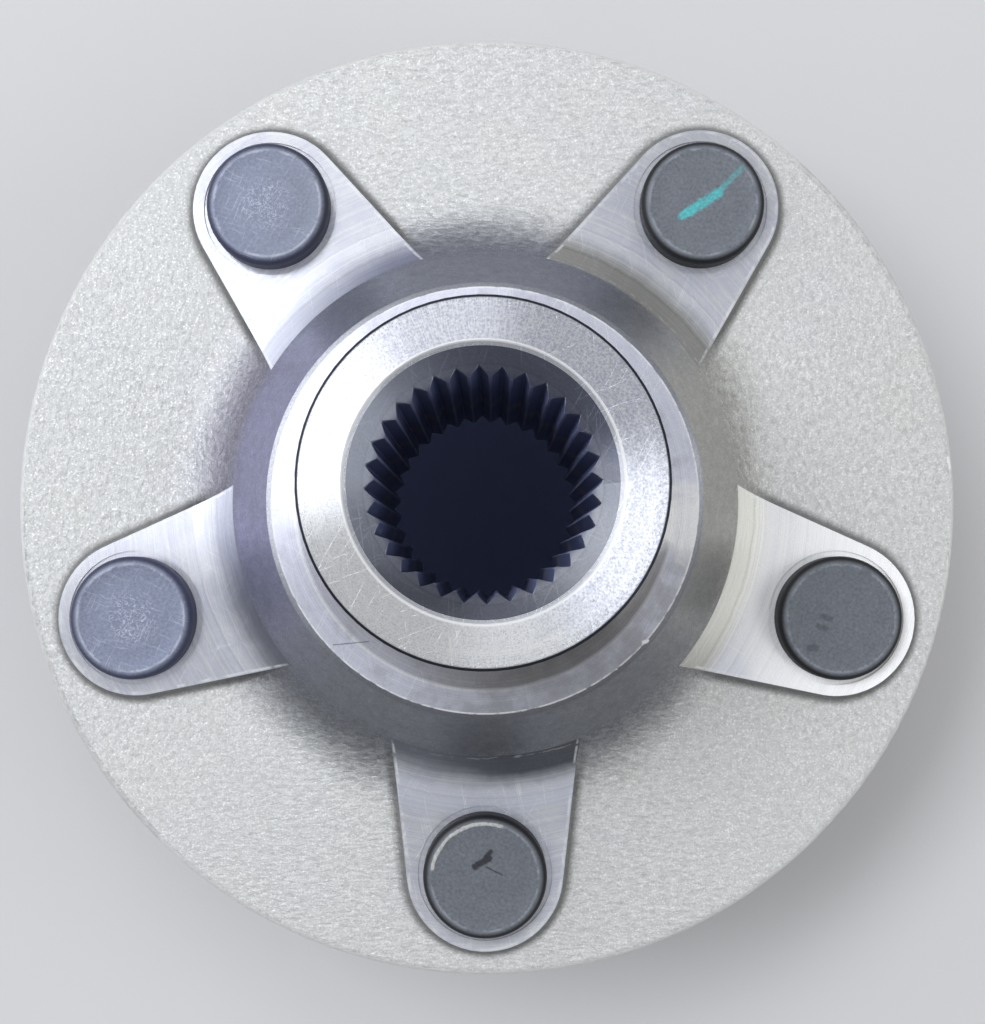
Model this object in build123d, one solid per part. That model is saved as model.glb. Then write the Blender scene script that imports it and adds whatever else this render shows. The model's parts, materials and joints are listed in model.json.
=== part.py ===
# Driven wheel hub with five pressed-in wheel studs, as supplied without its bearing.
# The wheel face lies on the XY plane, centred on the hub axis.
# +Z runs along the hub axis towards the inboard end, where the bearing goes.
# The studs and the wheel pilot point the other way, outboard.
from build123d import *

import os
from math import acos, cos, pi, radians, sin, tan

# Wheel studs and their circle
stud_count = 5
stud_circle_diameter = 114.3
stud_thread_diameter = 12.0
stud_length = 48.0
stud_tip_chamfer = 1.5
stud_head_diameter = 19.0
stud_head_height = 3.6
stud_head_round = 1.1
stud_knurl_diameter = 14.3
stud_knurl_length = 8.0
stud_knurl_depth = 0.25
stud_knurl_teeth = 40
stud_knurl_lead = 0.8
stud_neck_length = 2.0
stud_neck_relief = 0.45
stud_hole_chamfer = 0.8

# Flange, forged, with its outboard face turned
rim_margin = 16.35
flange_thickness = 10.0
rim_round = 1.2
rim_chamfer = 1.0

# Pads that the stud heads bear on: forged lobes, turned flat on top
pad_height = 1.8
pad_edge_width = 1.7
pad_spread_angle = 6.4
pad_draft_angle = 20.0
pad_root_round = 1.0
pad_inner_round = 9.2
spot_face_clearance = 0.9
spot_face_depth = 0.3

# Neck that joins the flange to the bearing shoulder
neck_slope_angle = 51.0
neck_foot_round = 14.0

# Bearing seat: the spigot that the inner ring is pressed on, and the shoulder it stops at
spigot_diameter = 45.0
spigot_length = 40.0
spigot_chamfer = 0.5
shoulder_height = 24.0
shoulder_width = 9.8
shoulder_chamfer = 0.9
seat_round = 5.5

# Splined bore for the drive shaft, with a chamfered cone at its inboard mouth
spline_teeth = 32
spline_module = 0.875
spline_pressure_angle = 45.0
spline_crest_height = 0.55
spline_root_depth = 0.6
spline_turn_angle = 1.9
mouth_step = 2.4
mouth_chamfer = 0.6
mouth_cone_angle = 60.0
bore_end_step = 0.35

# Wheel pilot and the recess for the axle nut, on the outboard side
pilot_diameter = 64.0
pilot_height = 12.0
pilot_wall = 7.0
pilot_lead_length = 4.0
pilot_lead_angle = 12.0
pilot_foot_round = 0.6
nut_seat_height = 3.0
nut_recess_round = 2.0
nut_recess_chamfer = 1.0
face_relief_width = 10.0
face_relief_depth = 0.8

# Sizes that follow from those above
stud_circle_radius = stud_circle_diameter / 2
stud_head_radius = stud_head_diameter / 2
stud_hole_radius = stud_knurl_diameter / 2
pad_top = flange_thickness + pad_height
stud_seat = pad_top - spot_face_depth
spot_face_radius = stud_head_radius + spot_face_clearance
flange_radius = stud_circle_radius + rim_margin
spigot_radius = spigot_diameter / 2
spigot_end = shoulder_height + spigot_length
shoulder_radius = spigot_radius + shoulder_width
neck_top = shoulder_height - shoulder_chamfer
spline_pitch_radius = spline_module * spline_teeth / 2
spline_crest_radius = spline_pitch_radius - spline_crest_height
spline_root_radius = spline_pitch_radius + spline_root_depth
pilot_radius = pilot_diameter / 2
nut_recess_radius = pilot_radius - pilot_wall

# How near to a height an edge lies for it to count as on that height
touching = 0.001


def turned(corners, rounds=None):
    """Solid turned about the Z axis from (radius, height) corners, some of them rounded."""
    radii = [0.0] * len(corners)
    for index, radius in (rounds or {}).items():
        radii[index] = radius
    outline = FilletPolyline(*corners, radius=radii, close=True)
    return revolve(Plane.XZ * make_face(outline), Axis.Z)


def around(piece):
    """Copies of a piece, one for each stud, with the first straight down the -Y axis."""
    return [Rot(0, 0, 360 * index / stud_count - 90) * piece for index in range(stud_count)]


def neck_radius(height):
    """Radius of the neck's straight slope at a height."""
    return shoulder_radius + (neck_top - height) / tan(radians(neck_slope_angle))


def forged_body():
    """Flange, neck, shoulder, spigot and wheel pilot, before the pads and the bore."""
    relief_radius = pilot_radius + face_relief_width
    pilot_tip_radius = pilot_radius - pilot_lead_length * tan(radians(pilot_lead_angle))
    corners = [
        (0, -pilot_height),
        (pilot_tip_radius, -pilot_height),
        (pilot_radius, pilot_lead_length - pilot_height),
        (pilot_radius, face_relief_depth),
        (relief_radius, face_relief_depth),
        (relief_radius + face_relief_depth, 0),
        (flange_radius - rim_chamfer, 0),
        (flange_radius, rim_chamfer),
        (flange_radius, flange_thickness),
        (neck_radius(flange_thickness), flange_thickness),
        (shoulder_radius, neck_top),
        (shoulder_radius - shoulder_chamfer, shoulder_height),
        (spigot_radius, shoulder_height),
        (spigot_radius, spigot_end - spigot_chamfer),
        (spigot_radius - spigot_chamfer, spigot_end),
        (0, spigot_end),
    ]
    rounds = {3: pilot_foot_round, 8: rim_round, 9: neck_foot_round, 12: seat_round}
    return turned(corners, rounds)


def pad_envelope():
    """Turned space under the tops of the pads: flat, then curving up until it meets the neck."""
    slope = radians(neck_slope_angle)
    base = flange_thickness / 2
    reach = pad_inner_round * tan(slope / 2)
    flat_end = (neck_radius(pad_top) + reach, pad_top)
    rise = pad_top + reach * sin(slope)
    rise_end = (neck_radius(rise), rise)
    curve = RadiusArc(flat_end, rise_end, pad_inner_round)
    rest = Polyline(curve @ 1, (0, rise), (0, base), (flange_radius, base), (flange_radius, pad_top), curve @ 0)
    return revolve(Plane.XZ * make_face([curve, rest]), Axis.Z)


def pad():
    """One lobe around a stud on the +X axis, drafted outwards from its top edge down."""
    tip_radius = spot_face_radius + pad_edge_width
    spread = radians(pad_spread_angle)
    tangent_x = stud_circle_radius + tip_radius * sin(spread)
    tangent_y = tip_radius * cos(spread)
    inner_y = tangent_y + (tangent_x - shoulder_radius) * tan(spread)
    left = Line((shoulder_radius, inner_y), (tangent_x, tangent_y))
    tip = ThreePointArc(left @ 1, (stud_circle_radius + tip_radius, 0), (tangent_x, -tangent_y))
    right = Line(tip @ 1, (shoulder_radius, -inner_y))
    back = Line(right @ 1, left @ 0)
    outline = Plane.XY.offset(pad_top) * make_face([left, tip, right, back])
    below = extrude(outline, -(pad_top - flange_thickness / 2), taper=-pad_draft_angle)
    above = extrude(outline, neck_top - pad_top)
    return (below + above) & pad_envelope()


def with_pads(body):
    """The forged body with a pad for each stud, rounded where the pad meets the flange."""
    padded = body
    for lobe in around(pad()):
        padded += lobe
    level = (flange_thickness - touching, flange_thickness + touching)
    arcs = padded.edges().filter_by(GeomType.CIRCLE).filter_by_position(Axis.Z, *level)
    pad_tips = arcs.group_by(SortBy.RADIUS)[0]
    return fillet(pad_tips, pad_root_round)


def stud_hole():
    """What is drilled away for a stud on the +X axis: spot face, press-fit hole, chamfer."""
    hole = turned([
        (0, -stud_hole_chamfer),
        (stud_hole_radius + 2 * stud_hole_chamfer, -stud_hole_chamfer),
        (stud_hole_radius, stud_hole_chamfer),
        (stud_hole_radius, stud_seat),
        (spot_face_radius, stud_seat),
        (spot_face_radius, shoulder_height),
        (0, shoulder_height),
    ])
    return Pos(stud_circle_radius, 0, 0) * hole


def bore():
    """What is turned away about the axis: nut recess, bore inside the spline, and mouth."""
    mouth_radius = spline_root_radius + mouth_step
    cone_top_radius = mouth_radius - mouth_chamfer
    cone_top = spigot_end - mouth_chamfer
    cone_foot = cone_top - (cone_top_radius - spline_crest_radius) / tan(radians(mouth_cone_angle / 2))
    end_radius = spline_root_radius + bore_end_step
    corners = [
        (0, -pilot_height),
        (nut_recess_radius + nut_recess_chamfer, -pilot_height),
        (nut_recess_radius, nut_recess_chamfer - pilot_height),
        (nut_recess_radius, nut_seat_height),
        (end_radius, nut_seat_height),
        (spline_crest_radius, nut_seat_height + end_radius - spline_crest_radius),
        (spline_crest_radius, cone_foot),
        (cone_top_radius, cone_top),
        (mouth_radius, spigot_end),
        (0, spigot_end),
    ]
    return turned(corners, {3: nut_recess_round})


def involute(angle):
    """Involute function of a pressure angle in radians."""
    return tan(angle) - angle


def space_half_angle(radius):
    """Half the angle, in radians, that one tooth space of the spline spans at a radius."""
    pressure = radians(spline_pressure_angle)
    local_pressure = acos(spline_pitch_radius * cos(pressure) / radius)
    return pi / (2 * spline_teeth) + involute(pressure) - involute(local_pressure)


def spline_cut():
    """What is broached away to leave the spline: a bar with an involute tooth for each space."""
    pitch = 2 * pi / spline_teeth

    def at(radius, angle):
        return (radius * cos(angle), radius * sin(angle))

    def flank(middle, side, radii):
        """Arc through three points of the involute on one side of a space."""
        return ThreePointArc(*[at(radius, middle + side * space_half_angle(radius)) for radius in radii])

    outward = [spline_crest_radius, spline_pitch_radius, spline_root_radius]
    inward = outward[::-1]
    edges = []
    for tooth in range(spline_teeth):
        middle = radians(spline_turn_angle) + tooth * pitch
        rising = flank(middle, -1, outward)
        falling = flank(middle, 1, inward)
        root = ThreePointArc(rising @ 1, at(spline_root_radius, middle), falling @ 0)
        next_start = at(spline_crest_radius, middle + pitch - space_half_angle(spline_crest_radius))
        crest = ThreePointArc(falling @ 1, at(spline_crest_radius, middle + pitch / 2), next_start)
        edges += [rising, root, falling, crest]
    outline = Plane.XY.offset(nut_seat_height) * make_face(edges)
    return extrude(outline, spigot_end - nut_seat_height)


def wheel_hub():
    """The hub itself, one forging with its turned, drilled and broached surfaces."""
    hub = with_pads(forged_body())
    for hole in around(stud_hole()):
        hub -= hole
    hub -= bore()
    hub -= spline_cut()
    return hub


def knurl():
    """Straight serrations under a stud's head, with a tapered lead at their lower end."""
    crest_radius = stud_knurl_diameter / 2
    valley_radius = crest_radius - stud_knurl_depth
    end = stud_seat - stud_knurl_length
    points = []
    for step in range(2 * stud_knurl_teeth):
        radius = valley_radius if step % 2 else crest_radius
        angle = pi * step / stud_knurl_teeth
        points.append((radius * cos(angle), radius * sin(angle)))
    bar = extrude(Plane.XY.offset(end) * make_face(Polyline(*points, close=True)), stud_knurl_length)
    lead = turned([
        (0, end),
        (crest_radius - stud_knurl_lead, end),
        (crest_radius + stud_knurl_lead, end + 2 * stud_knurl_lead),
        (crest_radius + stud_knurl_lead, stud_seat),
        (0, stud_seat),
    ])
    return bar & lead


def wheel_stud():
    """One stud on the +X axis: head, knurl that bites the hole, neck and threaded shank."""
    head_top = stud_seat + stud_head_height
    neck_end = stud_seat - stud_knurl_length - stud_neck_length
    tip = stud_seat - stud_length
    thread_radius = stud_thread_diameter / 2
    stud_neck_radius = thread_radius - stud_neck_relief
    shank = turned([
        (0, head_top),
        (stud_head_radius, head_top),
        (stud_head_radius, stud_seat),
        (stud_neck_radius, stud_seat),
        (stud_neck_radius, neck_end),
        (thread_radius, neck_end - stud_neck_relief),
        (thread_radius, tip + stud_tip_chamfer),
        (thread_radius - stud_tip_chamfer, tip),
        (0, tip),
    ], {1: stud_head_round})
    return Pos(stud_circle_radius, 0, 0) * (shank + knurl())


os.makedirs("parts", exist_ok=True)
export_step(wheel_hub(), "parts/wheel_hub.step")
for number, stud in enumerate(around(wheel_stud()), start=1):
    export_step(stud, f"parts/wheel_stud_{number}.step")
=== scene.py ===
import json
from math import atan2, cos, hypot, pi, radians, sin

import bpy
from mathutils import Matrix, Vector


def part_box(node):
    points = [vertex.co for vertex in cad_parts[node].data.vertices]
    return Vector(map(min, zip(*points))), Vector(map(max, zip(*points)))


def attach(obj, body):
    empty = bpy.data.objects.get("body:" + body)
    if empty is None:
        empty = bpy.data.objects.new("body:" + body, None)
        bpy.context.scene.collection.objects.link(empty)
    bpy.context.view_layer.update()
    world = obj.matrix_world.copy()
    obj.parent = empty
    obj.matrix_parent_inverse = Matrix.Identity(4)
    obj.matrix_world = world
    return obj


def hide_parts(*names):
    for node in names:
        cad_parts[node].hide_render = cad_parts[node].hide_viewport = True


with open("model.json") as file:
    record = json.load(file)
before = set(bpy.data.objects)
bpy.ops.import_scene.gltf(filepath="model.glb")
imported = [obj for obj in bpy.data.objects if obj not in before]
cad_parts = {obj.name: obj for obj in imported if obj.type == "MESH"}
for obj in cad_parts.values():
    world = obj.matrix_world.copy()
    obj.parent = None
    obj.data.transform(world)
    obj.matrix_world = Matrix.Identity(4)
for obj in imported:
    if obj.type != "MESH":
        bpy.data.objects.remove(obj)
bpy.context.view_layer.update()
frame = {"nodes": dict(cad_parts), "record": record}

# Sizes here are in millimetres, and the scene is in metres
MM = 0.001

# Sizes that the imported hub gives
mounts = {mount["name"]: mount for mount in frame["record"]["mounts"]}
stud_count = mounts["wheel_studs"]["dims"]["count"]
stud_circle_radius = mounts["wheel_studs"]["dims"]["pcd_mm"] / 2
thread_radius = mounts["wheel_studs"]["dims"]["stud_r_mm"]
spigot_radius = mounts["bearing_seat"]["dims"]["r_mm"]
nut_recess_radius = mounts["nut_recess"]["dims"]["r_mm"]
nut_seat = mounts["nut_seat"]["pos_m"][2] / MM
shoulder_face = mounts["bearing_shoulder"]["pos_m"][2] / MM
hub_high = tuple(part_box("wheel_hub"))[1] / MM
stud_low, stud_high = (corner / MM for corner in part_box("wheel_stud_1"))
spigot_end = hub_high.z
rim_radius = hub_high.x
stud_tip = stud_low.z
head_top = stud_high.z
head_radius = (stud_high.x - stud_low.x) / 2

# Where one finish of the hub meets the next
shoulder_radius = 32.3
shoulder_chamfer = 0.9
spigot_chamfer = 0.5
foot_inner_radius = 38.0
foot_outer_radius = 49.6
pad_radius = 12.1
pad_spread_angle = 6.4
pad_inner_limit = 38.7
pad_flat_radius = 45.8
pad_side_height = 0.6
flange_top = 10.0
flange_middle = 5.0
face_skin = 0.95
mouth_radius = 17.0
mouth_chamfer = 0.6
cone_foot = 58.3
spline_crest_radius = 13.45
seat_round_end = 28.0
seat_round_height = 6.0
neck_top_gap = 2.0
stud_hole_radius = 7.15
first_stud_angle = -90.0

# The wheel stud, from its head down
head_seat = 11.5
head_edge_round = 1.1
head_edge_segments = 6
head_rim_width = 0.3
head_dish_width = 0.4
head_dish_depth = 0.07
head_dish_border = 2.0
knurl_teeth = 40
knurl_radius = 7.15
knurl_depth = 0.25
knurl_lead = 0.8
knurl_end = 3.5
stud_neck_radius = 5.55
stud_neck_end = 1.5
neck_plug_depth = 1.5
neck_plug_taper = 1.2
thread_pitch = 1.5
thread_depth = 0.92
thread_steps = 48
thread_trim = 0.2
thread_run_out = 0.6
crest_shave = 0.02
tip_chamfer = 1.5

# How near a place lies to a level to count as on it, and how near two corners lie to count as one
on_level = 0.01
close_to_level = 0.001
same_corner = 0.002
faces_along_axis = 0.9
smooth_angle = 32.0


def colour(red, green, blue):
    """A colour as a screen gives it, 0 to 255, in the linear values that a shader takes."""
    def linear(level):
        share = level / 255
        return share / 12.92 if share <= 0.04045 else ((share + 0.055) / 1.055) ** 2.4
    return (linear(red), linear(green), linear(blue), 1.0)


# Colours of the blasted forging, with painted shade and reflections on its foot and neck, painted shade
# round the pads and a painted highlight on the rim
forging_pale_warm = colour(210, 211, 208)
forging_pale_cool = colour(208, 209, 212)
neck_shade_left = colour(156, 156, 183)
neck_shade_right = colour(184, 184, 180)
neck_shade_back = colour(138, 141, 153)
neck_shade_front = colour(132, 135, 142)
foot_shade_left = colour(146, 145, 158)
foot_shade_right = colour(184, 184, 178)
pad_root_shade = colour(92, 92, 92)
rim_highlight = colour(232, 233, 232)
nick_bright = colour(250, 250, 250)

# Colours of the turned steel, with painted highlights, a glint and painted shade on its faces and edges
turned_dull = colour(210, 213, 228)
turned_clean = colour(236, 238, 246)
end_face_highlight = colour(250, 252, 255)
edge_highlight_and_nick_bright = colour(252, 253, 255)
spigot_rim_shade = colour(58, 60, 70)
shoulder_steel = colour(234, 236, 250)
shoulder_arc_highlight = colour(250, 251, 254)
shoulder_glint = colour(255, 255, 255)
shoulder_shade_far_side = colour(110, 110, 108)
shoulder_scratch = colour(120, 122, 134)
shoulder_chamfer_shade = colour(88, 90, 97)
seat_round_shade = colour(122, 120, 120)
oil_stain_and_shade = colour(112, 110, 102)

# Colours of the stud pads, with painted shade and highlights up their rise by side
pad_flat_dull = colour(224, 227, 240)
pad_flat_clean = colour(242, 244, 250)
pad_flat_highlight_right = colour(251, 252, 254)
pad_flat_by_rise = colour(236, 240, 255)
rise_left_front = colour(128, 130, 141)
rise_left_back = colour(137, 140, 161)
rise_towards_lamp = colour(206, 209, 224)
rise_front = colour(104, 107, 116)
rise_back = colour(170, 170, 167)
rise_highlight_right_upper = colour(246, 247, 240)
rise_right_lower = colour(188, 189, 184)
rise_crown = colour(248, 249, 255)

# Colours of the bore: painted reflections on the cone, painted shade deep in it and painted highlights on
# the crests and mouth chamfer
cone_reflection_left = colour(192, 198, 214)
cone_reflection_right = colour(166, 169, 178)
cone_reflection_back = colour(132, 137, 158)
cone_reflection_front = colour(114, 118, 132)
bore_deep_shade = colour(82, 90, 128)
spline_crest_highlight = colour(140, 147, 180)
mouth_chamfer_highlight = colour(236, 239, 246)

# Colours of the studs, with a painted bluish sheen and a painted highlight ring on the heads
phosphate_rubbed = colour(104, 109, 118)
phosphate_rubbed_more = colour(118, 123, 131)
phosphate_sheen_left = colour(122, 129, 151)
phosphate_black = colour(9, 10, 14)
phosphate_dull = colour(15, 16, 22)
head_side_sheen_left = colour(66, 70, 98)
head_ring_highlight = colour(184, 188, 200)
scribble_bright = colour(196, 201, 218)
head_scratch_bright = colour(190, 194, 210)
teal_paint = colour(84, 184, 188)
smudge_black = colour(30, 31, 36)
burr_bright = colour(206, 206, 204)
dent_dark = colour(52, 54, 60)

# Colours of the floor and of its painted shade under the hub
floor_pale = colour(216, 216, 218)
floor_paler = colour(220, 220, 221)
floor_painted_shade = colour(58, 66, 98)


class Field:
    """A number that varies over a surface. Arithmetic on it adds the nodes that work it out."""

    def __init__(self, finish, socket):
        self.finish = finish
        self.socket = socket

    def __add__(self, other):
        return self.finish.maths("ADD", self, other)

    def __sub__(self, other):
        return self.finish.maths("SUBTRACT", self, other)

    def __rsub__(self, other):
        return self.finish.maths("SUBTRACT", other, self)

    def __mul__(self, other):
        return self.finish.maths("MULTIPLY", self, other)

    def __truediv__(self, other):
        return self.finish.maths("DIVIDE", self, other)

    def __abs__(self):
        return self.finish.maths("ABSOLUTE", self)

    def __or__(self, other):
        """Where either of two masks is."""
        return self.finish.maths("MAXIMUM", self, other)

    __radd__ = __add__
    __rmul__ = __mul__


class Finish:
    """One material, with a short way to write each step of the pattern that varies over it."""

    def __init__(self, name):
        self.material = bpy.data.materials.new(name)
        self.material.use_nodes = True
        self.nodes = self.material.node_tree.nodes
        self.links = self.material.node_tree.links
        self.nodes.clear()
        metres = self.put("ShaderNodeTexCoord").outputs["Object"]
        in_millimetres = (1 / MM, 1 / MM, 1 / MM)
        scaled = self.put("ShaderNodeVectorMath", {0: metres, 1: in_millimetres}, operation="MULTIPLY")
        self.place = scaled.outputs[0]
        parts = self.put("ShaderNodeSeparateXYZ", {0: self.place}).outputs
        self.x, self.y, self.z = (Field(self, part) for part in parts)
        self.radius = self.length(self.x, self.y)
        self.angle = self.maths("ARCTAN2", self.y, self.x)

    def put(self, kind, inputs=None, **settings):
        """A node with its settings made and its inputs filled or linked."""
        node = self.nodes.new(kind)
        for name, value in settings.items():
            setattr(node, name, value)
        for name, value in (inputs or {}).items():
            source = value.socket if isinstance(value, Field) else value
            if isinstance(source, bpy.types.NodeSocket):
                self.links.new(source, node.inputs[name])
            else:
                node.inputs[name].default_value = source
        return node

    def maths(self, operation, *values):
        node = self.put("ShaderNodeMath", dict(enumerate(values)), operation=operation)
        return Field(self, node.outputs[0])

    def length(self, a, b):
        return self.maths("SQRT", a * a + b * b)

    def vector(self, x, y, z):
        return self.put("ShaderNodeCombineXYZ", {0: x, 1: y, 2: z}).outputs[0]

    def rise(self, value, start, end, low=0.0, high=1.0):
        """A number that goes smoothly from low to high as the value goes from start to end."""
        inputs = {"Value": value, "From Min": start, "From Max": end, "To Min": low, "To Max": high}
        node = self.put("ShaderNodeMapRange", inputs, interpolation_type="SMOOTHSTEP")
        return Field(self, node.outputs[0])

    def fall(self, value, start, end):
        """A number that goes smoothly from 1 to 0 as the value goes from start to end."""
        return self.rise(value, start, end, 1.0, 0.0)

    def above(self, value, edge, blur=0.05):
        return self.rise(value, edge - blur / 2, edge + blur / 2)

    def below(self, value, edge, blur=0.05):
        return self.fall(value, edge - blur / 2, edge + blur / 2)

    def between(self, value, low, high, blur=0.05):
        return self.above(value, low, blur) * self.below(value, high, blur)

    def noise(self, size, detail=2.0, roughness=0.5, place=None, wrinkle=0.0):
        """Cloudy noise from 0 to 1 whose lumps are about as wide as the size."""
        inputs = {"Vector": place or self.place, "Scale": 1 / size, "Detail": detail, "Roughness": roughness}
        inputs["Distortion"] = wrinkle
        return Field(self, self.put("ShaderNodeTexNoise", inputs).outputs["Fac"])

    def lines(self, along, width, detail=2.0):
        """Noise in one direction only, which makes lines about as wide as the width."""
        inputs = {"W": along, "Scale": 1 / width, "Detail": detail}
        return Field(self, self.put("ShaderNodeTexNoise", inputs, noise_dimensions="1D").outputs["Fac"])

    def streaks(self, direction, length, width, rarity):
        """Thin scratches that lie one way in plan. The rarer they are, the fewer show."""
        turn = radians(direction)
        along = self.x * cos(turn) + self.y * sin(turn)
        across = self.y * cos(turn) - self.x * sin(turn)
        bent = across + self.noise(length / 2, detail=0.0) * (width * 4)
        place = self.vector(along / length, bent / width, self.z / length)
        return self.above(self.noise(1.0, 1.0, 0.5, place), rarity, blur=0.06)

    def blend(self, mask, first, second):
        """The first colour where the mask is 0 and the second where it is 1."""
        inputs = {0: mask, 6: first, 7: second}
        return self.put("ShaderNodeMix", inputs, data_type="RGBA", clamp_factor=True).outputs[2]

    def shade(self, tint, level):
        """A colour made lighter or darker by a field that is 1 where it stays."""
        inputs = {0: 1.0, 6: tint, 7: self.vector(level, level, level)}
        return self.put("ShaderNodeMix", inputs, data_type="RGBA", blend_type="MULTIPLY").outputs[2]

    def bump(self, height):
        """A normal tilted by a height in millimetres."""
        return self.put("ShaderNodeBump", {"Height": height, "Distance": MM, "Strength": 1.0}).outputs[0]

    def steel(self, tint, roughness, normal, metallic=1.0, brushed=0.0):
        """A steel surface. Brushed steel has its marks running round the hub axis."""
        inputs = {"Base Color": tint, "Roughness": roughness, "Normal": normal, "Metallic": metallic}
        if brushed:
            inputs["Anisotropic"] = brushed
            inputs["Anisotropic Rotation"] = 0.25
            inputs["Tangent"] = self.vector(0.0 - self.y, self.x, 0.0)
        return self.put("ShaderNodeBsdfPrincipled", inputs).outputs[0]

    def cover(self, mask, under, over):
        return self.put("ShaderNodeMixShader", {0: mask, 1: under, 2: over}).outputs[0]

    def done(self, surface):
        self.put("ShaderNodeOutputMaterial", {"Surface": surface})
        return self.material


def stud_frame(finish):
    """Where a point lies from the axis of the nearest stud: outwards from the hub, and sideways."""
    step = 2 * pi / stud_count
    shift = step / 2 - radians(first_stud_angle)
    turned = finish.maths("FLOORED_MODULO", finish.angle + shift, step) - step / 2
    outwards = finish.radius * finish.maths("COSINE", turned) - stud_circle_radius
    sideways = finish.radius * finish.maths("SINE", turned)
    return outwards, abs(sideways)


def pad_distance(finish, outwards, sideways):
    """How far a point is from the middle line of a pad that widens towards the hub."""
    spread = radians(pad_spread_angle)
    round_end = finish.length(outwards, sideways)
    straight_side = outwards * sin(spread) + sideways * cos(spread)
    past_tip = finish.above(outwards * cos(spread) - sideways * sin(spread), 0.0, blur=0.01)
    return straight_side + (round_end - straight_side) * past_tip


def forged_surface(finish, from_pad_line):
    """Shot-blasted forging: pale and grainy, with painted shade going smooth and dark down its foot and up
    the neck.
    """
    radius = finish.radius
    grain = forging_ripple(finish)
    shot_size, cloud_size, neck_cloud_size = 0.30, 14.0, 1.6
    fine = finish.noise(shot_size, 2.0, 0.6)
    clouds = finish.noise(cloud_size, 3.0, 0.55)
    glints = finish.above(finish.noise(shot_size, 1.0, 0.5), 0.66, blur=0.10)
    inboard = finish.above(finish.z, flange_middle)
    # The dark foot and neck below are painted shade and reflections, reaching further out on the left.
    ragged_radius = radius + (grain - 0.5) * 5.0 + (clouds - 0.5) * 4.0 + finish.x / radius * 2.0
    foot = finish.fall(ragged_radius, foot_inner_radius, foot_outer_radius) * inboard
    neck = finish.below(radius + (fine - 0.5) * 1.5, pad_inner_limit, blur=2.4) * inboard
    # Painted shade in the crease round the foot of each pad.
    root = finish.fall(from_pad_line, pad_radius + 0.5, pad_radius + 2.0) * inboard
    root = root * finish.rise(radius, pad_inner_limit - 1.0, pad_flat_radius)
    tint = forging_tones(finish, clouds, foot, neck)
    tint = finish.blend(root * 0.75, tint, pad_root_shade)
    level = 1.0 + (grain - 0.5) * (0.60 - neck * 0.40) + (fine - 0.5) * (0.70 - neck * 0.20)
    level = level + (finish.noise(neck_cloud_size, 4.0, 0.7) - 0.5) * neck * 0.55
    tint = finish.shade(tint, level + glints * (0.20 - neck * 0.16))
    # Painted highlight along the rounded edge of the rim.
    rim_highlight_band = finish.above(radius + (grain - 0.5) * 0.8, rim_radius - 0.8, blur=0.3)
    tint = finish.blend(rim_highlight_band * 0.6, tint, rim_highlight)
    tint = finish.blend(handling_nicks(finish), tint, nick_bright)
    roughness = 0.55 - foot * 0.12 - glints * 0.12
    height = (grain * 0.17 + fine * 0.02) * (1.0 - neck * 0.88)
    metallic = 0.25 + foot * 0.55
    return finish.steel(tint, roughness, finish.bump(height), metallic)


def forging_ripple(finish):
    """Wrinkles of the blasted forging skin, which run roughly round the hub."""
    x, y, z = finish.x, finish.y, finish.z
    lying_place = finish.vector(x / 1.5, y / 0.62, z / 0.9)
    lying = finish.noise(1.0, 2.0, 0.5, lying_place, wrinkle=0.5)
    standing_place = finish.vector(x / 0.75, y / 1.1, z / 0.9)
    standing = finish.noise(1.0, 2.0, 0.5, standing_place, wrinkle=0.5)
    across = finish.rise((abs(y) - abs(x)) / finish.radius, -0.5, 0.5)
    return standing + (lying - standing) * across


def forging_tones(finish, clouds, foot, neck):
    """The forging's colours: pale on the flange, with painted shade and reflections down its foot and up the
    neck, lighter at the left and right and darker at the back and front.
    """
    towards_back = finish.y / finish.radius
    to_right = finish.rise(finish.x, -15.0, 15.0)
    pale = finish.blend(clouds, forging_pale_warm, forging_pale_cool)
    neck_sides = finish.blend(to_right, neck_shade_left, neck_shade_right)
    foot_sides = finish.blend(to_right, foot_shade_left, foot_shade_right)
    dark = finish.blend(neck, foot_sides, neck_sides)
    dark = finish.blend(finish.rise(towards_back, 0.45, 0.95), dark, neck_shade_back)
    dark = finish.blend(finish.fall(towards_back, -0.85, -0.15), dark, neck_shade_front)
    return finish.blend(foot, pale, dark)


def handling_nicks(finish):
    """Small bright nicks: two on the edge of the bearing shoulder and one on the rim."""
    at_edge = stroke(finish, (23.3, -20.9), (23.8, -20.7), width=0.55)
    beside_it = stroke(finish, (19.2, -24.9), (19.4, -24.8), width=0.2)
    on_rim = stroke(finish, (72.4, 7.3), (72.7, 5.7), width=0.5)
    return at_edge | beside_it | on_rim


def scratches_on_faces(finish):
    """Fine handling scratches, and the radial rubs across the top of the end face."""
    crossed = finish.streaks(62.0, 12.0, 0.20, 0.70) | finish.streaks(-35.0, 8.0, 0.15, 0.71)
    crossed = crossed | finish.streaks(100.0, 10.0, 0.17, 0.70) | finish.streaks(20.0, 6.0, 0.15, 0.72)
    fan = finish.vector(finish.angle * 90.0, finish.radius / 5.0, 0.0)
    rubs = finish.above(finish.noise(1.0, 2.0, 0.6, fan), 0.56, blur=0.10)
    at_top = finish.between(finish.angle, 0.95, 2.15, blur=0.5)
    rubs = rubs * at_top * finish.above(finish.z, spigot_end - 0.2)
    return crossed, rubs


def bore_mask(finish):
    """Inside the bore, from the chamfer at its mouth down to the nut seat."""
    return finish.below(finish.radius, mouth_radius - mouth_chamfer) * finish.above(finish.z, nut_seat + 0.1)


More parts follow.
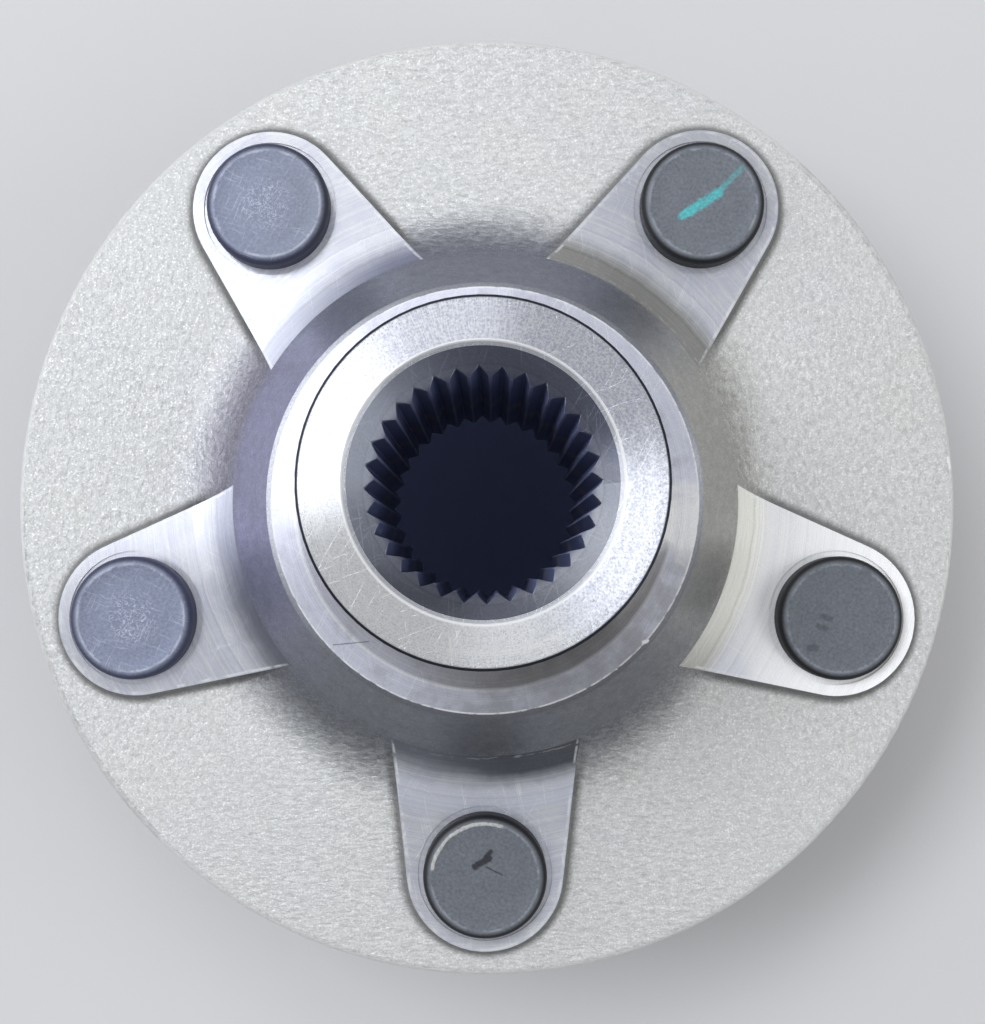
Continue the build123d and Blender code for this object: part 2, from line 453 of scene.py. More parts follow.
def turned_surface(finish, from_pad_line):
    """Bright turned steel, with round marks from the tool, specks, a few scratches and painted highlights
    along its edges.
    """
    radius, z = finish.radius, finish.z
    along_profile = radius + z * 0.73
    tool_mark_width, tool_band_width, speck_size, dust_size = 0.16, 1.3, 0.34, 0.20
    marks = finish.lines(along_profile, tool_mark_width, 3.0)
    bands = finish.lines(along_profile, tool_band_width, 2.0)
    specks = finish.noise(speck_size, 3.0, 0.7)
    dust = finish.noise(dust_size, 2.0, 0.6)
    crossed, rubs = scratches_on_faces(finish)
    tint = finish.blend(finish.rise(specks, 0.34, 0.66), turned_dull, turned_clean)
    tint = bore_tones(finish, tint)
    tint = spigot_and_shoulder_tones(finish, tint)
    on_pad = finish.between(z, flange_top + pad_side_height, shoulder_face - neck_top_gap)
    on_pad = on_pad * finish.above(radius, pad_inner_limit - 0.5)
    on_shoulder = finish.between(z, shoulder_face - shoulder_chamfer, shoulder_face + seat_round_height)
    on_shoulder = on_shoulder * finish.above(radius, spigot_radius - 0.2)
    in_bore = bore_mask(finish)
    tint = finish.blend(on_pad, tint, pad_tones(finish))
    mouth = finish.between(radius, mouth_radius - mouth_chamfer, mouth_radius) * finish.above(z, cone_foot)
    speckled = 1.0 - on_pad * 0.8 - on_shoulder * 0.6 - in_bore * 0.6 - mouth * 0.9
    level = 0.97 + (specks - 0.5) * speckled * 0.60 + (dust - 0.5) * speckled * 0.75
    level = level + (marks - 0.5) * 0.30
    level = level + (bands - 0.5) * 0.20 + crossed * 0.18 + rubs * 0.30
    tint = finish.shade(tint, finish.maths("MINIMUM", level, 1.15))
    # Painted highlight along the rounded top edges of the pads.
    pad_edge_highlight = finish.between(from_pad_line, pad_radius - 0.50, pad_radius - 0.16, blur=0.24) * on_pad
    pad_edge_highlight = pad_edge_highlight * finish.rise(finish.noise(2.4, 3.0, 0.6), 0.40, 0.60)
    # worn holds the painted edge highlights and the handling nicks.
    worn = edge_highlights_and_nicks(finish) | pad_edge_highlight * 0.55
    tint = finish.blend(worn, tint, edge_highlight_and_nick_bright)
    roughness = 0.30 + (specks - 0.5) * speckled * 0.12 + (bands - 0.5) * 0.12
    roughness = roughness + crossed * 0.12 + rubs * 0.05
    roughness = roughness + in_bore * 0.12 + on_pad * 0.08 + on_shoulder * 0.05
    height = marks * (1.0 - on_shoulder * 0.6) * 0.003 + specks * speckled * 0.003 - crossed * 0.004
    to_right = finish.rise(finish.x, 20.0, 30.0) * finish.fall(finish.y, 0.0, 12.0)
    metallic = 1.0 - on_pad * (0.25 + to_right * 0.25) - on_shoulder * (0.35 + to_right * 0.20)
    metallic = metallic - mouth * 0.3
    metallic = metallic - worn * 0.5 - in_bore * finish.below(z, cone_foot, blur=2.0) * 0.5
    return finish.steel(tint, roughness, finish.bump(height), metallic, brushed=1.0)


def pad_tones(finish):
    """The stud pads: silvery on the flat, with painted shade and highlights up the rise that meets the neck,
    by side.
    """
    radius, x, y = finish.radius, finish.x, finish.y
    soft = finish.noise(6.0, 3.0, 0.6)
    turning = finish.lines(radius + soft * 1.5, 0.7, 3.0)
    flat = finish.blend(finish.rise(soft + turning * 0.6, 0.55, 1.05), pad_flat_dull, pad_flat_clean)
    # Painted highlight on the flat of the pad at the right.
    flat = finish.blend(finish.rise(x, 36.0, 44.0) * finish.fall(y, -4.0, 8.0), flat, pad_flat_highlight_right)
    towards_left = finish.fall(x, -10.0, 6.0)
    rise_start = pad_flat_radius - 4.6 - towards_left * 1.8
    rising = finish.fall(radius + (soft - 0.5) * 1.2, rise_start, pad_flat_radius - 0.9)
    # The rise's tones by side are painted shade and light: darker at the front and left, lighter towards the
    # lamp and at the right.
    left = finish.blend(finish.rise(y, -26.0, 0.0), rise_left_front, rise_left_back)
    facing_lamp = (y * 0.423 - x * 0.906) / radius
    left = finish.blend(finish.rise(facing_lamp, 0.70, 1.00), left, rise_towards_lamp)
    right = finish.blend(finish.rise(y, -30.0, 0.0), rise_front, rise_back)
    toned = finish.blend(towards_left, right, left)
    lower = finish.fall(y, -28.0, -14.0)
    lit = finish.rise(x, 18.0, 32.0) * finish.between(y, -34.0, 12.0, blur=10.0)
    toned = finish.blend(lit, toned, finish.blend(lower, rise_highlight_right_upper, rise_right_lower))
    toned = finish.shade(toned, 1.0 + (turning - 0.5) * 0.7)
    by_rise = finish.between(radius + soft * 2.0, pad_flat_radius - 0.4, pad_flat_radius + 3.4, blur=1.8)
    flat = finish.blend(by_rise * finish.rise(y, -42.0, -36.0, 0.8, 0.0), flat, pad_flat_by_rise)
    tint = finish.blend(rising, flat, toned)
    crown = finish.between(radius + soft * 0.8, pad_flat_radius - 0.6, pad_flat_radius + 0.6, blur=0.9)
    return finish.blend(crown * finish.rise(turning, 0.4, 0.6) * 0.6, tint, rise_crown)


def edge_highlights_and_nicks(finish):
    """Painted highlights along edges: round the mouth, along the shoulder's edge and where the pads meet the
    neck, with the real handling nicks.
    """
    radius, z = finish.radius, finish.z
    uneven = finish.noise(1.6, 3.0, 0.6)
    mouth = finish.between(radius, mouth_radius - 0.16, mouth_radius + 0.16, blur=0.12)
    mouth = mouth * finish.above(z, cone_foot)
    edge_radius = shoulder_radius - shoulder_chamfer
    shoulder = finish.between(radius, edge_radius - 0.14, edge_radius + 0.12, blur=0.12)
    shoulder = shoulder * finish.between(z, shoulder_face - 0.2, shoulder_face + 1.0)
    wandering = radius + (finish.noise(4.0, 4.0, 0.6) - 0.5) * 1.6
    lip = finish.between(wandering, pad_inner_limit + 0.40, pad_inner_limit + 0.55, blur=0.20)
    lip = lip * finish.below(z, shoulder_face - neck_top_gap) * finish.rise(uneven, 0.44, 0.60)
    lip = lip * finish.rise(finish.x, -16.0, 4.0)
    shoulder = shoulder * finish.rise(uneven, 0.34, 0.56)
    return mouth * 0.9 | shoulder * 0.8 | lip * 0.35 | handling_nicks(finish)


def bore_tones(finish, tint):
    """The bore: painted shade deep in it, painted reflections on its cone by side, painted highlights on the
    spline crests and on the chamfer at its mouth.
    """
    radius, x, y, z = finish.radius, finish.x, finish.y, finish.z
    in_bore = bore_mask(finish)
    # Painted reflections on the cone, lighter on the left and darker at the back and front.
    cone = finish.blend(finish.rise(x, -8.0, 8.0), cone_reflection_left, cone_reflection_right)
    cone = finish.blend(finish.rise(x * 0.53 + y * 0.85, 4.0, 15.0), cone, cone_reflection_back)
    cone = finish.blend(finish.rise(x * -0.17 - y * 0.98, 8.0, 15.0), cone, cone_reflection_front)
    tint = finish.blend(in_bore * 0.9, tint, cone)
    # Painted shade deep in the bore.
    deep = in_bore * finish.fall(z, cone_foot - 1.0, cone_foot + 1.2)
    tint = finish.blend(deep, tint, bore_deep_shade)
    # Painted highlight on the spline crests, brighter towards the mouth.
    crest = finish.below(radius, spline_crest_radius + 0.08, blur=0.06) * in_bore
    crest = crest * finish.rise(z, cone_foot - 12.0, cone_foot, 0.1, 0.8)
    tint = finish.blend(crest, tint, spline_crest_highlight)
    # Painted highlight on the mouth chamfer.
    chamfer = finish.between(radius, mouth_radius - mouth_chamfer, mouth_radius - 0.1)
    chamfer = chamfer * finish.above(z, cone_foot)
    return finish.blend(chamfer * 0.8, tint, mouth_chamfer_highlight)


def spigot_and_shoulder_tones(finish, tint):
    """Painted shade round the spigot's end and in the seat round, a painted highlight on the end face, and
    the shoulder's flat and edge with an oil stain, painted highlights, a glint and painted shade.
    """
    radius, x, y, z = finish.radius, finish.x, finish.y, finish.z
    # Painted highlight sector on the end face, towards the front left.
    end_face_highlight_sector = finish.rise(x * -0.5 - y * 0.87, 4.0, 15.0) * finish.above(z, spigot_end - 0.2)
    tint = finish.blend(end_face_highlight_sector * 0.85, tint, end_face_highlight)
    # Painted shade in the line round the spigot's end chamfer.
    spigot_rim_shade_band = finish.above(radius, spigot_radius - 0.38, blur=0.08)
    spigot_rim_shade_band = spigot_rim_shade_band * finish.above(z, spigot_end - spigot_chamfer - 0.1)
    tint = finish.blend(spigot_rim_shade_band, tint, spigot_rim_shade)
    on_shoulder = finish.between(z, shoulder_face - 0.1, shoulder_face + seat_round_height)
    uneven = finish.noise(3.5, 3.0, 0.6)
    # The side of the shoulder away from the window lamp, which gets painted shade.
    shaded_side = finish.rise(x * 0.6 - y * 0.8, 8.0, 30.0)
    tint = finish.blend(on_shoulder * finish.above(radius, spigot_radius - 0.2), tint, shoulder_steel)
    # Painted shadow of the spigot on the seat round, deeper on the side away from the lamp.
    in_round = on_shoulder * finish.below(radius + (uneven - 0.5) * 0.8, seat_round_end - 0.2, blur=0.7)
    tint = finish.blend(in_round * (0.40 + shaded_side * 0.4), tint, seat_round_shade)
    # Painted highlight arc where the seat round meets the flat, brighter towards the lamp.
    towards_light = finish.fall(x, -8.0, 14.0)
    arc = finish.between(radius, seat_round_end - 0.15, seat_round_end + 0.25, blur=0.25) * on_shoulder
    tint = finish.blend(arc * (0.25 + towards_light * 0.6), tint, shoulder_arc_highlight)
    # Oil stain, made heavier on the side away from the lamp as painted shade.
    oiled_and_shaded = finish.rise(uneven + shaded_side * 0.25, 0.50, 0.86) * on_shoulder
    tint = finish.blend(oiled_and_shaded * 0.35, tint, oil_stain_and_shade)
    # Painted shade over the far side of the shoulder.
    tint = finish.blend(shaded_side * on_shoulder * 0.3, tint, shoulder_shade_far_side)
    glint = finish.between(finish.angle + (uneven - 0.5) * 0.3, -0.26, 0.04, blur=0.16) * on_shoulder
    glint = glint * finish.above(radius, spigot_radius + 1.0, blur=1.5)
    tint = finish.blend(glint * 0.85, tint, shoulder_glint)
    scratch = stroke(finish, (-22.2, -21.3), (-17.0, -20.8), width=0.16)
    tint = finish.blend(scratch * on_shoulder * 0.8, tint, shoulder_scratch)
    # Painted shade on the shoulder's chamfer, deepest at the front, back and away from the lamp.
    chamfer = finish.between(z, shoulder_face - shoulder_chamfer - 0.1, shoulder_face - 0.05)
    chamfer = chamfer * finish.above(radius, shoulder_radius - shoulder_chamfer)
    front = finish.fall(y, -28.0, -2.0)
    back = finish.rise(x * 0.34 + y * 0.94, 12.0, 28.0)
    return finish.blend(chamfer * (0.10 + (shaded_side | front | back * 0.75) * 0.7), tint, shoulder_chamfer_shade)


def hub_finish():
    """The hub's forged and turned surfaces, each where the work on the real one left it."""
    finish = Finish("hub_forging_and_turning")
    radius, z = finish.radius, finish.z
    outwards, sideways = stud_frame(finish)
    from_pad_line = pad_distance(finish, outwards, sideways)
    from_stud = finish.length(outwards, sideways)
    pad = finish.below(from_pad_line, pad_radius) * finish.above(radius, pad_inner_limit)
    pad = pad * finish.above(z, flange_top + pad_side_height)
    seat = finish.above(z, shoulder_face - shoulder_chamfer)
    bore = finish.below(radius, mouth_radius + 0.1) * finish.above(z, nut_seat)
    outboard = finish.below(z, face_skin)
    recess = finish.below(radius, nut_recess_radius + 1.2) * finish.below(z, nut_seat + 0.1)
    drilled = finish.below(from_stud, stud_hole_radius + 0.05)
    rim = finish.above(radius, rim_radius - 0.08, blur=0.04) * finish.below(z, flange_top - 1.2)
    turned = pad | seat | bore | outboard | recess | drilled | rim
    forged = forged_surface(finish, from_pad_line)
    bright = turned_surface(finish, from_pad_line)
    return finish.done(finish.cover(turned, forged, bright))


def stroke_and_share(finish, start, end, width, centre=(0, 0)):
    """Mask of a ragged stroke between two places given from a centre, and how far along it each point is."""
    x = finish.x - (centre[0] + start[0])
    y = finish.y - (centre[1] + start[1])
    run = (end[0] - start[0], end[1] - start[1])
    share = (x * run[0] + y * run[1]) / (run[0] ** 2 + run[1] ** 2)
    share = finish.maths("MINIMUM", finish.maths("MAXIMUM", share, 0.0), 1.0)
    gap = finish.length(x - share * run[0], y - share * run[1])
    ragged = gap + (finish.noise(0.9, 3.0, 0.6) - 0.5) * width * 0.8
    return finish.below(ragged, width / 2, blur=width * 0.45), share


def stroke(finish, start, end, width, centre=(0, 0)):
    """Mask of a ragged stroke between two places given from a centre."""
    return stroke_and_share(finish, start, end, width, centre)[0]


def stud_place(number):
    """Centre of a stud in plan, counted from the one at the foot of the photograph."""
    angle = radians(first_stud_angle + 360 * (number - 1) / stud_count)
    return (stud_circle_radius * cos(angle), stud_circle_radius * sin(angle))


def stud_finish():
    """Black phosphate on cold-headed steel, rubbed grey on the head's top, with a painted bluish sheen on
    the heads at the left.
    """
    finish = Finish("stud_black_phosphate")
    z = finish.z
    outwards, sideways = stud_frame(finish)
    from_axis = finish.length(outwards, sideways)
    mottle = finish.noise(0.5, 4.0, 0.7)
    patches = finish.noise(2.6, 2.0, 0.5)
    top = finish.above(z, head_top - 0.35, blur=0.5)
    top = top * finish.below(from_axis, head_radius - head_edge_round * 0.7, blur=0.8)
    # left marks the heads at the left, which get a painted bluish sheen.
    left = finish.fall(finish.x, -45.0, -5.0)
    rubbed = finish.blend(patches, phosphate_rubbed, phosphate_rubbed_more)
    rubbed = finish.blend(left, rubbed, phosphate_sheen_left)
    black = finish.blend(patches, phosphate_black, phosphate_dull)
    black = finish.blend(left * finish.above(z, head_seat + 0.2, blur=0.6) * 0.8, black, head_side_sheen_left)
    tint = finish.blend(top, black, rubbed)
    # Painted highlight ring on the round of each head's edge, brighter on the heads at the left.
    ring_radius = head_radius - head_edge_round - 0.15
    ragged_axis = from_axis + (mottle - 0.5) * 0.5
    ring = finish.between(ragged_axis, ring_radius - 0.20, ring_radius + 0.12, blur=0.26)
    ring = ring * finish.above(z, head_top - 0.4, blur=0.2) * finish.rise(patches, 0.36, 0.62)
    tint = finish.blend(ring * (0.30 + left * 0.25), tint, head_ring_highlight)
    scribble = abs(finish.noise(1.0, 2.5, 0.6, wrinkle=1.2) - 0.5)
    scribble = finish.below(scribble, 0.024, blur=0.03) * top
    worn = scribble * finish.rise(from_axis, 2.0, 5.5, 0.55, 0.06) * left
    tint = finish.blend(worn, tint, scribble_bright)
    rubs = finish.streaks(62.0, 5.0, 0.22, 0.66) | finish.streaks(-20.0, 4.0, 0.20, 0.68)
    tint = finish.blend(rubs * top * (0.05 + left * 0.25), tint, head_scratch_bright)
    tint = head_marks(finish, tint, top)
    tint = finish.shade(tint, 1.0 + (mottle - 0.5) * 1.2)
    roughness = 0.56 - top * 0.10 + (mottle - 0.5) * 0.3
    height = mottle * 0.03 + finish.noise(0.2, 2.0) * 0.010 - worn * 0.01
    return finish.done(finish.steel(tint, roughness, finish.bump(height), top * 0.35))


def head_marks(finish, tint, top):
    """Marks on three of the heads: a dab of teal paint, a smudge under a burr, and three dents."""
    front, right, upper_right = stud_place(1), stud_place(2), stud_place(3)
    dab = stroke(finish, (-3.2, -2.1), (2.4, 1.5), 1.35, upper_right)
    tail, share = stroke_and_share(finish, (2.0, 1.2), (6.0, 5.3), 0.85, upper_right)
    streaky = 0.55 + finish.streaks(36.0, 3.0, 0.30, 0.42) * 0.45
    tint = finish.blend((dab | tail * (0.75 - share * 0.45)) * streaky * top, tint, teal_paint)
    smudge = stroke(finish, (-1.5, 1.6), (0.6, 3.0), 1.0, front)
    above_it = stroke(finish, (-0.2, 2.6), (0.9, 3.9), 0.8, front)
    drip = stroke(finish, (0.2, 1.6), (2.6, 0.4), 0.26, front)
    tint = finish.blend((smudge | above_it | drip * 0.7) * top * 0.85, tint, smudge_black)
    x, y = finish.x - front[0], finish.y - front[1]
    burr = finish.between(finish.length(x, y) + (finish.noise(1.5) - 0.5) * 0.5, 7.9, 8.4, blur=0.2)
    burr = burr * finish.between(finish.maths("ARCTAN2", y, x), radians(71), radians(172), blur=0.08)
    tint = finish.blend(burr * 0.85, tint, burr_bright)
    dent = stroke(finish, (-2.9, 0.3), (-1.7, 0.0), 0.9, right)
    lower_dent = stroke(finish, (-3.4, -1.2), (-2.4, -1.5), 0.8, right)
    edge_dent = stroke(finish, (-4.9, -4.6), (-3.9, -4.5), 1.0, right)
    return finish.blend((dent | lower_dent | edge_dent) * top * 0.4, tint, dent_dark)


def floor_finish():
    """Plain pale matt floor, with a painted dark blue shade where the hub's bore looks down on it."""
    finish = Finish("pale_floor")
    pale = finish.blend(finish.noise(60.0, 3.0), floor_pale, floor_paler)
    # Painted dark blue shade on the floor under the hub.
    painted_shade_under_hub = finish.fall(finish.radius, nut_recess_radius, rim_radius)
    tint = finish.blend(painted_shade_under_hub, pale, floor_painted_shade)
    return finish.done(finish.steel(tint, 0.9, finish.bump(finish.noise(0.8) * 0.02), 0.0))


def deselect_all():
    bpy.ops.object.select_all(action="DESELECT")
    bpy.context.view_layer.objects.active = None


def take_up(piece):
    """Makes a piece the only one selected, and the active one."""
    deselect_all()
    piece.select_set(True)
    bpy.context.view_layer.objects.active = piece


def start_piece(name, add, **how):
    """A new primitive, alone in the selection and open for editing with nothing selected in it."""
    deselect_all()
    add(**how)
    piece = bpy.context.active_object
    piece.name = name
    piece.data.name = name
    bpy.ops.object.transform_apply(location=True, rotation=True, scale=True)
    bpy.ops.object.mode_set(mode="EDIT")
    bpy.ops.mesh.select_all(action="DESELECT")
    return piece


def pick(piece, mode, wanted):
    """Selects the vertices or faces whose place, in millimetres, and normal are wanted."""
    bpy.ops.mesh.select_mode(type=mode)
    bpy.ops.mesh.select_all(action="DESELECT")
    bpy.ops.object.mode_set(mode="OBJECT")
    if mode == "FACE":
        for face in piece.data.polygons:
            face.select = wanted(face.center / MM, face.normal)
    else:
        for vertex in piece.data.vertices:
            vertex.select = wanted(vertex.co / MM)
    bpy.ops.object.mode_set(mode="EDIT")
    bpy.ops.mesh.select_mode(type=mode)


def extrude(x, y, z):
    bpy.ops.mesh.extrude_region_move(TRANSFORM_OT_translate={"value": (x * MM, y * MM, z * MM)})


def move(x, y, z):
    bpy.ops.transform.translate(value=(x * MM, y * MM, z * MM))


def resize(factor):
    """Draws what is selected in or out about the piece's axis."""
    bpy.ops.transform.resize(value=(factor, factor, 1.0), center_override=(0, 0, 0))


def stretch(factor, height):
    """Makes what is selected taller or lower about a height."""
    bpy.ops.transform.resize(value=(1.0, 1.0, factor), center_override=(0, 0, height * MM))


def close_piece(piece):
    """Merges doubles, turns every face outwards, shades the curves smooth and ends the editing."""
    bpy.ops.mesh.select_all(action="SELECT")
    bpy.ops.mesh.remove_doubles(threshold=same_corner * MM)
    bpy.ops.mesh.normals_make_consistent(inside=False)
    bpy.ops.object.mode_set(mode="OBJECT")
    bpy.ops.object.shade_smooth_by_angle(angle=radians(smooth_angle))
    return piece


def apply_boolean(piece, other, operation):
    take_up(piece)
    modifier = piece.modifiers.new("cut", "BOOLEAN")
    modifier.operation = operation
    modifier.object = other
    modifier.solver = "EXACT"
    bpy.ops.object.modifier_apply(modifier=modifier.name)
    bpy.data.objects.remove(other)


def head_and_knurl():
    """Head, knurl and neck: a disc, drawn up into the head and down into the neck."""
    piece = start_piece("stud_head", bpy.ops.mesh.primitive_circle_add, vertices=2 * knurl_teeth,
                        radius=head_radius * MM, fill_type="NGON", location=(0, 0, head_seat * MM))
    bpy.ops.mesh.select_all(action="SELECT")
    extrude(0, 0, head_top - head_seat)
    pick(piece, "VERT", lambda place: place.z > head_top - on_level)
    bpy.ops.mesh.bevel(offset=head_edge_round * MM, segments=head_edge_segments, affect="EDGES")
    pick(piece, "FACE", lambda place, normal: place.z > head_top - close_to_level
         and abs(normal.z) > faces_along_axis)
    bpy.ops.mesh.inset(thickness=head_rim_width * MM, depth=0)
    bpy.ops.mesh.inset(thickness=head_dish_width * MM, depth=-head_dish_depth * MM)
    bpy.ops.mesh.inset(thickness=head_dish_border * MM, depth=0)
    pick(piece, "FACE", lambda place, normal: place.z < head_seat + close_to_level
         and abs(normal.z) > faces_along_axis)
    bpy.ops.mesh.inset(thickness=(head_radius - knurl_radius) * MM, depth=0)
    extrude(0, 0, knurl_end + knurl_lead - head_seat)
    tooth = pi / knurl_teeth
    pick(piece, "VERT", lambda place: abs(hypot(place.x, place.y) - knurl_radius) < on_level
         and round(atan2(place.y, place.x) / tooth) % 2)
    resize((knurl_radius - knurl_depth) / knurl_radius)
    level, radius = knurl_end + knurl_lead, knurl_radius
    steps_down = ((knurl_end, knurl_radius - knurl_lead), (knurl_end, stud_neck_radius),
                  (stud_neck_end, stud_neck_radius),
                  (stud_neck_end - neck_plug_depth, stud_neck_radius - neck_plug_taper))
    for next_level, next_radius in steps_down:
        pick(piece, "FACE", lambda place, normal: place.z < level + close_to_level
             and abs(normal.z) > faces_along_axis)
        extrude(0, 0, next_level - level)
        resize(next_radius / radius)
        level, radius = next_level, next_radius
    return close_piece(piece)


def thread_profile():
    """One turn's outline, just below the stud's tip: a flank up, the crest, a flank down and the root."""
    crest = thread_pitch / 8
    root_radius = thread_radius - thread_depth
    middle = thread_radius - thread_depth / 2
    start = stud_tip - thread_pitch
    half_side = 0.5
    piece = start_piece("stud_thread", bpy.ops.mesh.primitive_plane_add, size=2 * half_side * MM,
                        location=(middle * MM, 0, start * MM), rotation=(pi / 2, 0, 0))
    pick(piece, "VERT", lambda place: place.x < middle)
    move(root_radius - (middle - half_side), 0, 0)
    pick(piece, "VERT", lambda place: place.x > middle)
    move(thread_radius - (middle + half_side), 0, 0)
    stretch(crest, start)
    pick(piece, "VERT", lambda place: place.x < middle)
    stretch(thread_pitch - crest, start)
    bpy.ops.mesh.select_mode(type="EDGE")
    bpy.ops.mesh.delete(type="EDGE")
    pick(piece, "VERT", lambda place: place.x < middle and place.z < start)
    extrude(0, 0, -crest)
    bpy.ops.object.mode_set(mode="OBJECT")
    return piece


def thread_bar():
    """The threaded shank: the outline screwed up the shank, cut to its ends and closed."""
    piece = thread_profile()
    screw = piece.modifiers.new("turns", "SCREW")
    screw.axis = "Z"
    screw.screw_offset = thread_pitch * MM
    screw.iterations = int((head_seat - stud_tip) / thread_pitch) - 2
    screw.steps = thread_steps
    screw.render_steps = thread_steps
    screw.use_merge_vertices = True
    screw.merge_threshold = same_corner / 2 * MM
    bpy.ops.object.modifier_apply(modifier=screw.name)
    bpy.ops.object.mode_set(mode="EDIT")
    bpy.ops.mesh.select_mode(type="VERT")
    bpy.ops.mesh.select_all(action="SELECT")
    bpy.ops.mesh.remove_doubles(threshold=same_corner * MM)
    for level, keep_above in ((stud_tip - thread_trim, True), (stud_neck_end, False)):
        bpy.ops.mesh.select_all(action="SELECT")
        bpy.ops.mesh.bisect(plane_co=(0, 0, level * MM), plane_no=(0, 0, 1), use_fill=True,
                            clear_inner=keep_above, clear_outer=not keep_above)
    bpy.ops.mesh.select_all(action="SELECT")
    bpy.ops.mesh.fill_holes(sides=0)
    return close_piece(piece)


def shank_blank():
    """The bar that the thread is cut on, with its chamfered tip and its run-out at the neck."""
    middle = (stud_tip + stud_neck_end) / 2
    piece = start_piece("stud_blank", bpy.ops.mesh.primitive_cylinder_add, vertices=2 * knurl_teeth,
                        radius=(thread_radius - crest_shave) * MM, depth=(stud_neck_end - stud_tip) * MM,
                        location=(0, 0, middle * MM))
    pick(piece, "FACE", lambda place, normal: place.z < stud_tip + on_level and normal.z < -faces_along_axis)
    extrude(0, 0, 0)
    resize(1 - tip_chamfer / thread_radius)
    tip_corner = thread_radius - tip_chamfer / 3
    pick(piece, "VERT", lambda place: place.z < stud_tip + on_level and hypot(place.x, place.y) > tip_corner)
    move(0, 0, tip_chamfer)
    pick(piece, "FACE", lambda place, normal: place.z > stud_neck_end - on_level
         and normal.z > faces_along_axis)
    extrude(0, 0, 0)
    resize(1 - thread_run_out / thread_radius)
    end_corner = thread_radius - thread_run_out / 2
    pick(piece, "VERT", lambda place: place.z > stud_neck_end - on_level
         and hypot(place.x, place.y) > end_corner)
    move(0, 0, -thread_run_out)
    return close_piece(piece)


def wheel_stud():
    """One stud on the hub's axis, ready to be copied to its hole."""
    shank = thread_bar()
    apply_boolean(shank, shank_blank(), "INTERSECT")
    stud = head_and_knurl()
    apply_boolean(stud, shank, "UNION")
    take_up(stud)
    bpy.ops.object.shade_smooth_by_angle(angle=radians(smooth_angle))
    return stud


def copy_to(piece, name, turn, place):
    """A copy with its own mesh, turned about the piece's axis and moved, with its place in its mesh."""
    take_up(piece)
    bpy.ops.object.duplicate(linked=False)
    copy = bpy.context.active_object
    copy.name = name
    copy.data.name = name
    copy.rotation_euler = (0, 0, turn)
    copy.location = (place[0] * MM, place[1] * MM, 0)
    bpy.ops.object.transform_apply(location=True, rotation=True, scale=True)
    return copy


def set_finish(piece, material):
    piece.data.materials.clear()
    piece.data.materials.append(material)


def wheel_studs(material):
    """A threaded stud in each hole, in place of the plain CAD one."""
    first = wheel_stud()
    for number in range(1, stud_count + 1):
        turn = radians(first_stud_angle + 360 * (number - 1) / stud_count)
        stud = copy_to(first, f"threaded_wheel_stud_{number}", turn, stud_place(number))
        set_finish(stud, material)
        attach(stud, "root")
        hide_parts(f"wheel_stud_{number}")
    bpy.data.objects.remove(first)


def floor():
    """A wide pale floor that the stud tips stand on."""
    floor_side = 6.0
    deselect_all()
    bpy.ops.mesh.primitive_plane_add(size=floor_side, location=(0, 0, stud_tip * MM))
    plane = bpy.context.active_object
    plane.name = "floor"
    bpy.ops.object.transform_apply(location=True, rotation=True, scale=True)
    set_finish(plane, floor_finish())


def soft_lamp(name, azimuth, elevation, distance, size, power, tint):
    """A wide lamp that faces the hub from a compass direction and a height, both in degrees."""
    lamp = bpy.data.lights.new(name, "AREA")
    lamp.shape = "RECTANGLE"
    lamp.size, lamp.size_y = size
    lamp.energy = power
    lamp.color = tint
    holder = bpy.data.objects.new(name, lamp)
    bpy.context.scene.collection.objects.link(holder)
    turn, lift = radians(azimuth), radians(elevation)
    towards = Vector((cos(turn) * cos(lift), sin(turn) * cos(lift), sin(lift)))
    holder.location = towards * distance
    holder.rotation_euler = towards.to_track_quat("Z", "Y").to_euler()
    holder.visible_camera = False


def studio_lamps():
    """One strong window from the upper left, a smaller one beside it, and a fill from each side."""
    window_light, side_window_light, warm_light = (0.94, 0.96, 1.0), (0.97, 0.98, 1.0), (1.0, 0.99, 0.97)
    soft_lamp("window_lamp", azimuth=153.0, elevation=60.0, distance=1.2, size=(0.63, 0.36),
              power=5.40, tint=window_light)
    soft_lamp("window_side_lamp", azimuth=105.0, elevation=56.0, distance=0.8, size=(0.34, 0.24),
              power=0.70, tint=side_window_light)
    soft_lamp("left_fill", azimuth=168.0, elevation=22.0, distance=1.0, size=(0.90, 0.60),
              power=1.70, tint=window_light)
    soft_lamp("right_fill", azimuth=-14.0, elevation=40.0, distance=1.0, size=(0.70, 0.35),
              power=1.50, tint=warm_light)


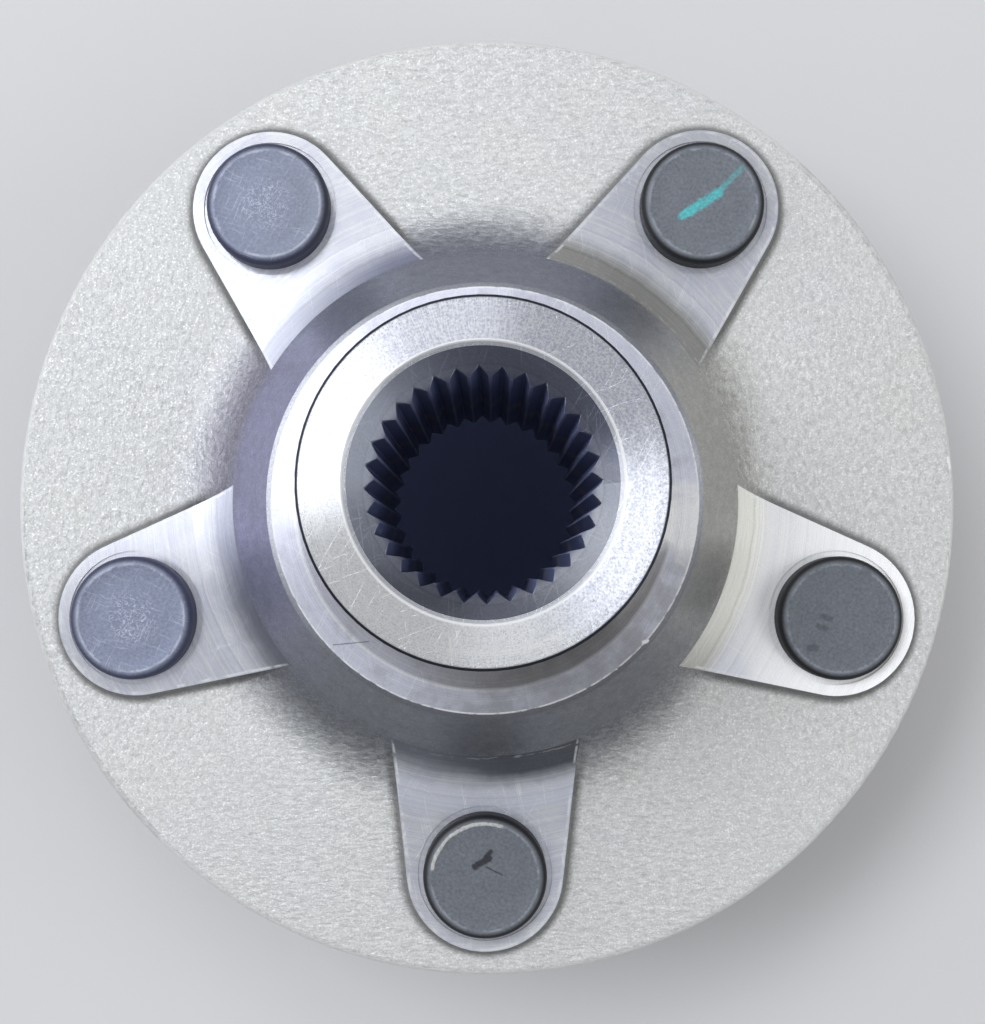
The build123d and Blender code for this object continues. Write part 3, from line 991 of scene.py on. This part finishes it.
def surroundings():
    """A pale room, brighter overhead than at the horizon, and darkest on the side towards the maker."""
    horizon_level, overhead_level = 0.34, 0.60
    near_side_share = 0.55
    room_light = (0.98, 0.99, 1.0, 1.0)
    world = bpy.data.worlds.new("pale_room")
    bpy.context.scene.world = world
    world.use_nodes = True
    nodes, links = world.node_tree.nodes, world.node_tree.links
    direction = nodes.new("ShaderNodeTexCoord")
    parts = nodes.new("ShaderNodeSeparateXYZ")
    links.new(direction.outputs["Generated"], parts.inputs[0])

    def slope(axis, start, end, low, high):
        step = nodes.new("ShaderNodeMapRange")
        links.new(parts.outputs[axis], step.inputs["Value"])
        for name, value in (("From Min", start), ("From Max", end), ("To Min", low), ("To Max", high)):
            step.inputs[name].default_value = value
        return step.outputs[0]

    level = nodes.new("ShaderNodeMath")
    level.operation = "MULTIPLY"
    links.new(slope("Z", 0.0, 0.9, horizon_level, overhead_level), level.inputs[0])
    links.new(slope("Y", -0.9, 0.2, near_side_share, 1.0), level.inputs[1])
    back = nodes["Background"]
    back.inputs["Color"].default_value = room_light
    links.new(level.outputs[0], back.inputs["Strength"])


def photograph_camera():
    """The camera's place, turn and lens, found by matching the hub's own circles in the photograph."""
    photo_width, photo_height = 985.0, 1024.0
    focal_length = 1417.93
    optical_centre = (475.57, 546.36)
    distance = 222.27
    aim_height = 10.0
    tip_angle, tilt_angle = -0.01971, -0.01138
    sideways, upwards = 1.482, 6.560
    sensor = 36.0
    camera = bpy.data.cameras.new("camera")
    camera.sensor_fit = "HORIZONTAL"
    camera.sensor_width = sensor
    camera.lens = focal_length * sensor / photo_width
    camera.shift_x = (photo_width / 2 - optical_centre[0]) / photo_width
    camera.shift_y = (optical_centre[1] - photo_height / 2) / photo_width
    camera.clip_start = 0.01
    turn = (Matrix.Rotation(tip_angle, 3, "X") @ Matrix.Rotation(tilt_angle, 3, "Y")).transposed()
    place = turn @ Vector((-sideways, -upwards, distance)) + Vector((0, 0, aim_height))
    holder = bpy.data.objects.new("camera", camera)
    bpy.context.scene.collection.objects.link(holder)
    holder.matrix_world = Matrix.Translation(place * MM) @ turn.to_4x4()
    bpy.context.scene.camera = holder


photograph_camera()
set_finish(frame["nodes"]["wheel_hub"], hub_finish())
wheel_studs(stud_finish())
floor()
studio_lamps()
surroundings()
bpy.context.scene.view_settings.view_transform = "Standard"
